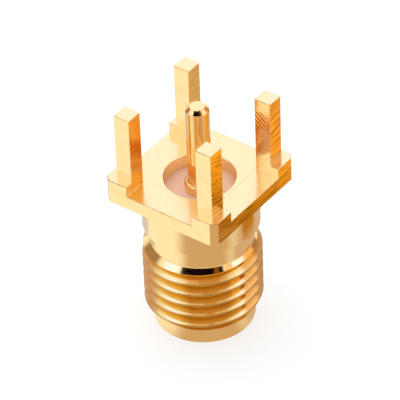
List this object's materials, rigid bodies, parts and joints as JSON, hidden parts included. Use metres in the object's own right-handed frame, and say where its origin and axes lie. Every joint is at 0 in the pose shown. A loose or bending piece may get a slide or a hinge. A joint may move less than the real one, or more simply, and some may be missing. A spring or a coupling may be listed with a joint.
{
  "type": "sma connector jack",
  "caption": "Vertical board-mount coaxial jack: threaded barrel and square flange with solder legs, insulator bead and centre contact with a solder pin.",
  "frame": {"origin": "centre of the mouth's rim, on the axis, at the object's lowest plane", "axes": "+Z along the axis, from the mating mouth towards the solder legs and the pin; X and Y square to the flange's sides"},
  "size_m": [0.007, 0.007, 0.0136],
  "materials": {
    "gold_plated_brass": "polished",
    "ptfe": "satin",
    "gold_plated_contact": "polished"
  },
  "bodies": {
    "root": {"body": "gold_plated_brass", "insulator": "ptfe", "centre_contact": "gold_plated_contact"}
  },
  "joints": []
}
